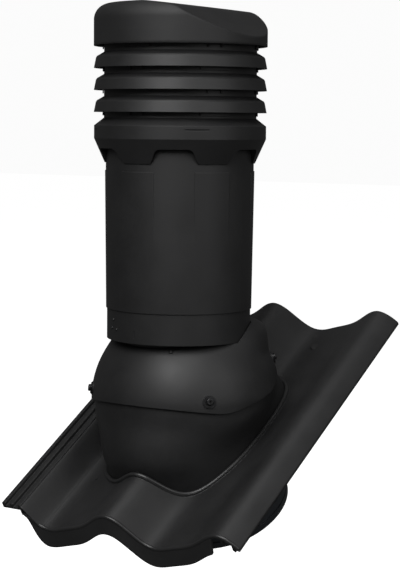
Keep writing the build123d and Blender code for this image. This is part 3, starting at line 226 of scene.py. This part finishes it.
class NodeShop:
    """Builds the node tree of one material."""

    def __init__(self, name: str) -> None:
        """Starts an empty material.

        Args:
            name: the material's name.
        """
        self.material = bpy.data.materials.new(name)
        self.material.use_nodes = True
        self.tree = self.material.node_tree
        self.tree.nodes.clear()

    def add(self, kind: str) -> bpy.types.Node:
        """Adds a node of a kind."""
        return self.tree.nodes.new(kind)

    def link(self, source: Socket, target: Socket) -> None:
        """Joins two sockets."""
        self.tree.links.new(source, target)

    def place(self) -> Socket:
        """Gives a point's place on the object, in metres."""
        return self.add("ShaderNodeTexCoord").outputs["Object"]

    def noise(self, place: Socket, scale: float, detail: float) -> Socket:
        """Adds a noise.

        Args:
            place: where the noise is read.
            scale: its turns for each metre.
            detail: how many finer noises it has on top.

        Returns:
            The noise's value, from 0 to 1.
        """
        node = self.add("ShaderNodeTexNoise")
        node.inputs["Scale"].default_value = scale
        node.inputs["Detail"].default_value = detail
        self.link(place, node.inputs["Vector"])
        return node.outputs["Fac"]

    def mix_value(self, first: Socket, second: Socket, share: float) -> Socket:
        """Mixes two values.

        Args:
            first: the value that a share of 0 gives.
            second: the value that a share of 1 gives.
            share: the second value's share.

        Returns:
            The mixed value.
        """
        node = self.add("ShaderNodeMix")
        node.data_type = "FLOAT"
        node.inputs["Factor"].default_value = share
        self.link(first, node.inputs["A"])
        self.link(second, node.inputs["B"])
        return node.outputs["Result"]

    def mix_color(self, share: Socket, first: Socket, second: tuple[float, ...]) -> Socket:
        """Mixes a colour with a fixed one.

        Args:
            share: the fixed colour's share.
            first: the colour under it.
            second: the fixed colour, with its alpha.

        Returns:
            The mixed colour.
        """
        node = self.add("ShaderNodeMix")
        node.data_type = "RGBA"
        self.link(share, node.inputs["Factor"])
        self.link(first, node.inputs[MIX_COLOR_FIRST])
        node.inputs[MIX_COLOR_SECOND].default_value = second
        return node.outputs[MIX_COLOR_RESULT]

    def ramp(self, value: Socket, span: Span, dark: Color, light: Color) -> Socket:
        """Turns a value into a colour between two.

        Args:
            value: the value.
            span: the values at which the colour is the dark and the light one.
            dark: the darker colour.
            light: the lighter colour.

        Returns:
            The colour.
        """
        node = self.add("ShaderNodeValToRGB")
        for stop, position, color in zip(node.color_ramp.elements, span, (dark, light)):
            stop.position = position
            stop.color = rgba(color)
        self.link(value, node.inputs["Fac"])
        return node.outputs["Color"]

    def map_range(self, value: Socket, source: Span, target: Span) -> Socket:
        """Maps a value from one range to another.

        Args:
            value: the value.
            source: the range that it has.
            target: the range that it gets.

        Returns:
            The mapped value.
        """
        node = self.add("ShaderNodeMapRange")
        for name, number in zip(("From Min", "From Max", "To Min", "To Max"), source + target):
            node.inputs[name].default_value = number
        self.link(value, node.inputs["Value"])
        return node.outputs["Result"]

    def rounded_normal(self, radius: float) -> Socket:
        """Gives the normal of the surface with its edges rounded.

        Args:
            radius: how far the rounding reaches, in metres.

        Returns:
            The normal.
        """
        node = self.add("ShaderNodeBevel")
        node.samples = BEVEL_SAMPLES
        node.inputs["Radius"].default_value = radius
        return node.outputs["Normal"]

    def painted_edge_highlight_mask(self, radius: float, breakup: Socket) -> Socket:
        """Gives a mask of sharp edges, broken up by a noise, along which a highlight is painted.

        Args:
            radius: reach of the worn band, in metres.
            breakup: noise that makes the painted highlight uneven.

        Returns:
            A value from 0 on open faces to about 1 on a worn edge.
        """
        plain = self.add("ShaderNodeNewGeometry").outputs["Normal"]
        dot = self.add("ShaderNodeVectorMath")
        dot.operation = "DOT_PRODUCT"
        self.link(plain, dot.inputs[0])
        self.link(self.rounded_normal(radius), dot.inputs[1])
        edge = self.map_range(dot.outputs["Value"], EDGE_COSINES, (0.0, 1.0))
        uneven = self.map_range(breakup, HIGHLIGHT_NOISE_SPAN, HIGHLIGHT_SHARES)
        both = self.add("ShaderNodeMath")
        both.operation = "MULTIPLY"
        both.use_clamp = True
        self.link(edge, both.inputs[0])
        self.link(uneven, both.inputs[1])
        return both.outputs[0]

    def bump(self, height: Socket, distance: float, normal: Socket) -> Socket:
        """Adds a bump over a normal.

        Args:
            height: the bump's height, from 0 to 1.
            distance: how deep the bump is, in metres.
            normal: the normal under it.

        Returns:
            The normal with the bump.
        """
        node = self.add("ShaderNodeBump")
        node.inputs["Strength"].default_value = 1.0
        node.inputs["Distance"].default_value = distance
        self.link(height, node.inputs["Height"])
        self.link(normal, node.inputs["Normal"])
        return node.outputs["Normal"]

    def finish(
        self, color: Socket, roughness: Socket, normal: Socket, specular: float, metallic: float
    ) -> bpy.types.Node:
        """Adds the shader and the output.

        Args:
            color: base colour.
            roughness: roughness.
            normal: normal.
            specular: specular level, the same all over.
            metallic: metallic share, the same all over.

        Returns:
            The shader.
        """
        shader = self.add("ShaderNodeBsdfPrincipled")
        shader.inputs["Specular IOR Level"].default_value = specular
        shader.inputs["Metallic"].default_value = metallic
        self.link(color, shader.inputs["Base Color"])
        self.link(roughness, shader.inputs["Roughness"])
        self.link(normal, shader.inputs["Normal"])
        output = self.add("ShaderNodeOutputMaterial")
        self.link(shader.outputs["BSDF"], output.inputs["Surface"])
        return shader


def scaled(color: Color, factor: float) -> Color:
    """Makes a colour lighter or darker."""
    return tuple(min(1.0, channel * factor) for channel in color)


def rgba(color: Color) -> tuple[float, float, float, float]:
    """Adds a full alpha to a colour."""
    return (*color, 1.0)


# Each edge colour is painted along the edges as a highlight
FINISHES: dict[Finish, MouldedPlastic | PlainMetal] = {
    Finish.SATIN_MOULDING: MouldedPlastic(
        name="satin_moulding",
        color=(0.0115, 0.0115, 0.0118),
        edge_highlight_color=(0.024, 0.024, 0.025),
        roughness=0.54,
    ),
    Finish.TILE_MOULDING: MouldedPlastic(
        name="tile_moulding",
        color=(0.0155, 0.0155, 0.0158),
        edge_highlight_color=(0.028, 0.028, 0.028),
        grain_height=0.03,
        edge_round=2.2,
    ),
    # The beads are the tile's own plastic; their lighter colour is a painted highlight along them
    Finish.BEAD_HIGHLIGHT_MOULDING: MouldedPlastic(
        name="bead_highlight_moulding",
        color=(0.02, 0.02, 0.0203),
        edge_highlight_color=(0.03, 0.03, 0.03),
        roughness=0.36,
        edge_round=0.5,
    ),
    Finish.SOFT_MOULDING: MouldedPlastic(
        name="soft_moulding",
        color=(0.0108, 0.0108, 0.0111),
        edge_highlight_color=(0.02, 0.02, 0.021),
        roughness=0.6,
        edge_round=4.5,
    ),
    Finish.GREY_MOULDING: MouldedPlastic(
        name="grey_moulding",
        color=(0.016, 0.019, 0.023),
        edge_highlight_color=(0.03, 0.034, 0.04),
        roughness=0.42,
    ),
    Finish.RUBBER: MouldedPlastic(
        name="rubber",
        color=(0.012, 0.012, 0.012),
        edge_highlight_color=(0.022, 0.022, 0.022),
        roughness=0.75,
        grain_height=0.04,
    ),
    Finish.FOAM: MouldedPlastic(
        name="foam",
        color=(0.03, 0.03, 0.032),
        edge_highlight_color=(0.05, 0.05, 0.05),
        roughness=0.9,
        grain_size=1.4,
        grain_height=0.25,
    ),
    Finish.DARK_METAL: PlainMetal(
        name="dark_metal",
        color=(0.02, 0.02, 0.021),
        roughness=0.34,
        metallic=0.5,
    ),
    Finish.BRIGHT_METAL: PlainMetal(
        name="bright_metal",
        color=(0.55, 0.55, 0.56),
        roughness=0.32,
    ),
}

NODE_FINISHES: dict[str, Finish] = {
    "tile_base": Finish.TILE_MOULDING,
    "lower_dome": Finish.SATIN_MOULDING,
    "hood": Finish.SATIN_MOULDING,
    "hood_screws": Finish.DARK_METAL,
    "hood_washers": Finish.DARK_METAL,
    "hood_nuts": Finish.BRIGHT_METAL,
    "chimney_collar": Finish.SATIN_MOULDING,
    "outer_tube": Finish.SATIN_MOULDING,
    "inner_duct": Finish.GREY_MOULDING,
    "insulation_sleeve": Finish.FOAM,
    "insulation_cover": Finish.GREY_MOULDING,
    "head_base": Finish.SATIN_MOULDING,
    "louvre_ring_1": Finish.SATIN_MOULDING,
    "louvre_ring_2": Finish.SATIN_MOULDING,
    "louvre_ring_3": Finish.SATIN_MOULDING,
    "rain_cap": Finish.SOFT_MOULDING,
    "long_screws": Finish.BRIGHT_METAL,
    "base_plate": Finish.SATIN_MOULDING,
    "base_spigot": Finish.SATIN_MOULDING,
    "socket_seal": Finish.RUBBER,
    "socket_ring": Finish.GREY_MOULDING,
    "plate_screws": Finish.DARK_METAL,
    "elbow_hose": Finish.RUBBER,
    "hose_clamp_upper": Finish.BRIGHT_METAL,
    "hose_clamp_lower": Finish.BRIGHT_METAL,
}


class Workshop:
    """Holds the finishes, each made once, and gives them to the pieces."""

    def __init__(self) -> None:
        """Makes every finish."""
        self.materials = {kind: finish.build() for kind, finish in FINISHES.items()}

    def dress_node(self, name: str, kind: Finish) -> None:
        """Gives a node of the frame its finish and smooth shading.

        Args:
            name: the node's name.
            kind: its finish.
        """
        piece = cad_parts[name]
        piece.data.materials.clear()
        piece.data.materials.append(self.materials[kind])
        piece.data.shade_smooth()
        LOG.info("dressed %s as %s", name, kind.value)

    def add_piece(
        self, name: str, form: bmesh.types.BMesh, kind: Finish, sharp_from: float | None = None
    ) -> None:
        """Turns a finished form into a smooth piece that rides with the tile.

        Args:
            name: the piece's name.
            form: its mesh, in metres, which is freed here.
            kind: its finish.
            sharp_from: angle in degrees from which an edge stays sharp, if any does.
        """
        bmesh.ops.recalc_face_normals(form, faces=form.faces)
        mesh = mesh_of(name, form)
        mesh.shade_smooth()
        if sharp_from is not None:
            mesh.set_sharp_from_angle(angle=math.radians(sharp_from))
        mesh.materials.append(self.materials[kind])
        piece = bpy.data.objects.new(name, mesh)
        bpy.context.scene.collection.objects.link(piece)
        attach(piece, BODY)
        LOG.info("added %s as %s", name, kind.value)


def mesh_of(name: str, form: bmesh.types.BMesh) -> bpy.types.Mesh:
    """Turns a form into a mesh and frees the form.

    Args:
        name: the mesh's name.
        form: the form.

    Returns:
        The mesh.
    """
    mesh = bpy.data.meshes.new(name)
    form.to_mesh(mesh)
    form.free()
    return mesh


def join_rings(form: bmesh.types.BMesh, first: Ring, second: Ring) -> None:
    """Joins two rings of as many corners by a band of faces.

    Args:
        form: the form that the rings are in.
        first: the first ring's corners.
        second: the second ring's corners, in the same order.
    """
    count = len(first)
    for corner in range(count):
        after = (corner + 1) % count
        form.faces.new((first[corner], first[after], second[after], second[corner]))


@dataclass(frozen=True)
class Roof:
    """The sloping frame that the tile is drawn in: across, up the slope and square to it, in mm."""

    pitch: float = 30.0
    wave_length: float = 150.0
    wave_swing: float = 17.2
    wave_sharpen: float = 2.5
    wave_lean: float = 3.4

    def wave(self, across: float) -> float:
        """Gives the height of the tile's top face over the roof's mean plane.

        Args:
            across: the place across the roof.

        Returns:
            The height, in millimetres.
        """
        turn = 2 * math.pi * across / self.wave_length
        bend = self.wave_sharpen * math.cos(2 * turn) + self.wave_lean * math.sin(2 * turn)
        return self.wave_swing * math.cos(turn) + bend

    def place(self, across: float, up_slope: float, height: float) -> Vector:
        """Turns a place in the roof's frame into one in the vent's frame.

        Args:
            across: the place across the roof.
            up_slope: the place up the slope.
            height: the height square to the roof.

        Returns:
            The place, in metres.
        """
        turn = math.radians(self.pitch)
        level = up_slope * math.cos(turn) - height * math.sin(turn)
        rise = up_slope * math.sin(turn) + height * math.cos(turn)
        return Vector((across, level, rise)) * MM


@dataclass
class TileBeads:
    """Rounded beads moulded on the tile: its front edge and the rim around the dome's foot.

    Lengths are in millimetres, in the roof's frame. A bead sinks into the tile, so that only its
    rounded top stands out.
    """

    workshop: Workshop
    roof: Roof = Roof()
    front: float = -166.0
    left: float = -117.6
    right: float = 179.6
    edge_radius: float = 2.4
    edge_sink: float = 1.3
    edge_steps: int = 150
    foot_middle: float = 30.0
    foot_half_width: float = 95.0
    foot_half_length: float = 122.0
    front_power: float = 2.2
    back_power: float = 3.3
    rim_out: float = 2.2
    rim_rise: float = 3.2
    rim_radius: float = 2.5
    rim_sink: float = 1.4
    rim_steps: int = 260
    sides: int = 12

    def build(self) -> None:
        """Makes both beads."""
        self.add("front_edge_bead", self.edge_path(), self.edge_radius, closed=False)
        self.add("foot_rim_bead", self.rim_path(), self.rim_radius, closed=True)

    def edge_path(self) -> list[Vector]:
        """Works out the line just inside the plate's upper front edge.

        Returns:
            The line's places, in metres.
        """
        path = []
        for step in range(self.edge_steps + 1):
            across = self.left + (self.right - self.left) * step / self.edge_steps
            height = self.roof.wave(across) - self.edge_sink
            path.append(self.roof.place(across, self.front + self.edge_sink, height))
        return path

    def rim_path(self) -> list[Vector]:
        """Works out the line along the top of the rim around the dome's foot.

        The rim is an oval, squarer behind its middle than in front of it.

        Returns:
            The line's places, in metres.
        """
        half_width = self.foot_half_width + self.rim_out
        half_length = self.foot_half_length + self.rim_out
        path = []
        for step in range(self.rim_steps):
            turn = 2 * math.pi * step / self.rim_steps
            power = self.back_power if math.sin(turn) > 0 else self.front_power
            across_share = abs(math.cos(turn)) / half_width
            along_share = abs(math.sin(turn)) / half_length
            reach = (across_share**power + along_share**power) ** (-1 / power)
            across = reach * math.cos(turn)
            up_slope = self.foot_middle + reach * math.sin(turn)
            height = self.roof.wave(across) + self.rim_rise - self.rim_sink
            path.append(self.roof.place(across, up_slope, height))
        return path

    def add(self, name: str, path: list[Vector], radius: float, closed: bool) -> None:
        """Makes one bead as a swept round bar.

        Args:
            name: the piece's name.
            path: its middle line, in metres.
            radius: its radius in millimetres.
            closed: whether the line is a loop.
        """
        form = bmesh.new()
        rings = [self.ring(form, path, index, radius * MM, closed) for index in range(len(path))]
        for first, second in zip(rings, rings[1:]):
            join_rings(form, first, second)
        if closed:
            join_rings(form, rings[-1], rings[0])
        else:
            form.faces.new(reversed(rings[0]))
            form.faces.new(rings[-1])
        self.workshop.add_piece(name, form, Finish.BEAD_HIGHLIGHT_MOULDING)

    def ring(
        self, form: bmesh.types.BMesh, path: list[Vector], index: int, radius: float, closed: bool
    ) -> Ring:
        """Adds one ring of a swept bar, square to its line.

        Args:
            form: the bar's form.
            path: its middle line, in metres.
            index: which of the line's places the ring is at.
            radius: the bar's radius, in metres.
            closed: whether the line is a loop.

        Returns:
            The ring's corners.
        """
        last = len(path) - 1
        before = path[index - 1] if closed or index > 0 else path[0]
        after = path[(index + 1) % len(path)] if closed or index < last else path[last]
        along = (after - before).normalized()
        side = along.cross(UP).normalized()
        up = side.cross(along)
        turns = [2 * math.pi * corner / self.sides for corner in range(self.sides)]
        places = [path[index] + (side * math.cos(t) + up * math.sin(t)) * radius for t in turns]
        return [form.verts.new(place) for place in places]


@dataclass
class LockCove:
    """The hollow curve by which the tile's plate rises to its side lock, in the roof's frame, in mm.

    The lock slope is the curve's own where it leaves the lock, in millimetres up for each across.
    """

    workshop: Workshop
    roof: Roof = Roof()
    left: float = -118.4
    right: float = -96.0
    top: float = 13.4
    lock_slope: float = -0.55
    depth: float = 2.0
    front: float = -167.2
    back: float = 253.9
    steps: int = 18
    slope_step: float = 0.5
    sharp_from: float = 40.0

    def build(self) -> None:
        """Makes the cove as a thin curved bar along the lock."""
        line = self.curve()
        section = line + [(across, height - self.depth) for across, height in reversed(line)]
        form = bmesh.new()
        ends = []
        for up_slope in (self.front, self.back):
            places = [self.roof.place(across, up_slope, height) for across, height in section]
            ends.append([form.verts.new(place) for place in places])
        join_rings(form, *ends)
        for end in ends:
            form.faces.new(end)
        self.workshop.add_piece("lock_cove", form, Finish.TILE_MOULDING, self.sharp_from)

    def curve(self) -> list[tuple[float, float]]:
        """Works out the cove's upper line, which ends on the wave with the wave's own slope.

        Returns:
            The line's places, across the roof and square to it.
        """
        end_height = self.roof.wave(self.right)
        end_slope = (self.roof.wave(self.right + self.slope_step) - end_height) / self.slope_step
        span = self.right - self.left
        line = []
        for step in range(self.steps + 1):
            t = step / self.steps
            start_share = 2 * t**3 - 3 * t**2 + 1
            end_share = 1 - start_share
            end_bend = (t**3 - t**2) * span * end_slope
            start_bend = (t**3 - 2 * t**2 + t) * span * self.lock_slope
            height = self.top * start_share + end_height * end_share + end_bend + start_bend
            line.append((self.left + span * t, height))
        return line


@dataclass(frozen=True)
class Lamp:
    """A soft square light. Angles are in degrees, lengths in metres and power in watts."""

    name: str
    azimuth: float
    height: float
    distance: float
    size: float
    power: float

    def build(self, aim: Vector) -> None:
        """Makes the light.

        Args:
            aim: the place that it points at.
        """
        turn, height = math.radians(self.azimuth), math.radians(self.height)
        level = math.cos(height)
        away = Vector((math.cos(turn) * level, math.sin(turn) * level, math.sin(height)))
        data = bpy.data.lights.new(self.name, "AREA")
        data.size = self.size
        data.energy = self.power
        light = bpy.data.objects.new(self.name, data)
        light.location = aim + away * self.distance
        light.rotation_mode = "QUATERNION"
        light.rotation_quaternion = (-away).to_track_quat("-Z", "Y")
        bpy.context.scene.collection.objects.link(light)


@dataclass
class Studio:
    """Pale floor, soft lights and the camera. Lengths are in metres, angles in degrees.

    The camera's focal length and the middle of its view are in the photograph's pixels. The room
    light falls on the vent, and the camera sees the paper light behind it.
    """

    eye: tuple[float, float, float] = (1.1037, -1.62349, 0.37746)
    azimuth: float = 34.12
    tilt: float = 5.66
    roll: float = -0.47
    focal_pixels: float = 1666.4
    middle_x: float = 181.4
    sensor: float = 36.0
    clip_start: float = 0.05
    clip_end: float = 50.0
    floor: PaleFloor = PaleFloor()
    floor_size: float = 14.0
    floor_cells: int = 8
    floor_drop: float = 0.14
    room_light: float = 0.075
    paper_light: float = 0.97
    aim: tuple[float, float, float] = (0.0, 0.0, 0.22)
    lamps: tuple[Lamp, ...] = (
        Lamp("key", azimuth=-77.0, height=38.0, distance=2.2, size=1.4, power=38.0),
        Lamp("side_fill", azimuth=-12.0, height=22.0, distance=2.6, size=1.4, power=15.0),
        Lamp("overhead", azimuth=-60.0, height=72.0, distance=2.4, size=1.6, power=16.0),
    )

    def build(self) -> None:
        """Makes the camera, the floor, the surround and the lamps."""
        self.build_camera()
        self.build_floor()
        self.build_surround()
        for lamp in self.lamps:
            lamp.build(Vector(self.aim))
            LOG.info("lit the %s lamp", lamp.name)

    def build_camera(self) -> None:
        """Places the camera as the photograph's was."""
        turn, tilt, roll = (math.radians(angle) for angle in (self.azimuth, self.tilt, self.roll))
        level = math.cos(tilt)
        back = Vector((math.sin(turn) * level, -math.cos(turn) * level, math.sin(tilt)))
        right = Vector((math.cos(turn), math.sin(turn), 0.0))
        up = back.cross(right)
        rolled_right = right * math.cos(roll) - up * math.sin(roll)
        rolled_up = up * math.cos(roll) + right * math.sin(roll)
        data = bpy.data.cameras.new("camera")
        data.sensor_width = self.sensor
        data.lens = self.focal_pixels * self.sensor / IMAGE_HEIGHT
        data.shift_x = (IMAGE_WIDTH / 2 - self.middle_x) / IMAGE_HEIGHT
        data.clip_start = self.clip_start
        data.clip_end = self.clip_end
        camera = bpy.data.objects.new("camera", data)
        pose = Matrix((rolled_right, rolled_up, back)).transposed().to_4x4()
        pose.translation = Vector(self.eye)
        camera.matrix_world = pose
        bpy.context.scene.collection.objects.link(camera)
        bpy.context.scene.camera = camera
        LOG.info("placed the camera")

    def build_floor(self) -> None:
        """Makes a large pale floor under the vent."""
        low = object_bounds()[0].z - self.floor_drop
        form = bmesh.new()
        cells = self.floor_cells
        bmesh.ops.create_grid(form, x_segments=cells, y_segments=cells, size=self.floor_size)
        mesh = mesh_of("floor", form)
        mesh.materials.append(self.floor.build())
        floor = bpy.data.objects.new("floor", mesh)
        floor.location.z = low
        bpy.context.scene.collection.objects.link(floor)
        floor.visible_diffuse = False
        floor.visible_glossy = False
        floor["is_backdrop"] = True
        LOG.info("laid the floor")

    def build_surround(self) -> None:
        """Makes the surround, which the camera sees brighter than it lights the vent."""
        scene = bpy.context.scene
        scene.view_settings.view_transform = "Standard"
        world = bpy.data.worlds.new("surround")
        scene.world = world
        world.use_nodes = True
        tree = world.node_tree
        room = tree.nodes["Background"]
        paper = tree.nodes.new("ShaderNodeBackground")
        for background, strength in ((room, self.room_light), (paper, self.paper_light)):
            background.inputs["Color"].default_value = WHITE
            background.inputs["Strength"].default_value = strength
        path = tree.nodes.new("ShaderNodeLightPath")
        mix = tree.nodes.new("ShaderNodeMixShader")
        tree.links.new(path.outputs["Is Camera Ray"], mix.inputs["Fac"])
        tree.links.new(room.outputs["Background"], mix.inputs[MIX_SHADER_FIRST])
        tree.links.new(paper.outputs["Background"], mix.inputs[MIX_SHADER_SECOND])
        tree.links.new(mix.outputs["Shader"], tree.nodes["World Output"].inputs["Surface"])
        LOG.info("hung the surround")


def main() -> None:
    """Dresses the vent and sets up the studio."""
    logging.basicConfig(level=logging.INFO, format="%(message)s")
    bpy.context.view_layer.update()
    workshop = Workshop()
    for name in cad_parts:
        workshop.dress_node(name, NODE_FINISHES[name])
    TileBeads(workshop).build()
    LockCove(workshop).build()
    Studio().build()


if __name__ == "__main__":
    main()
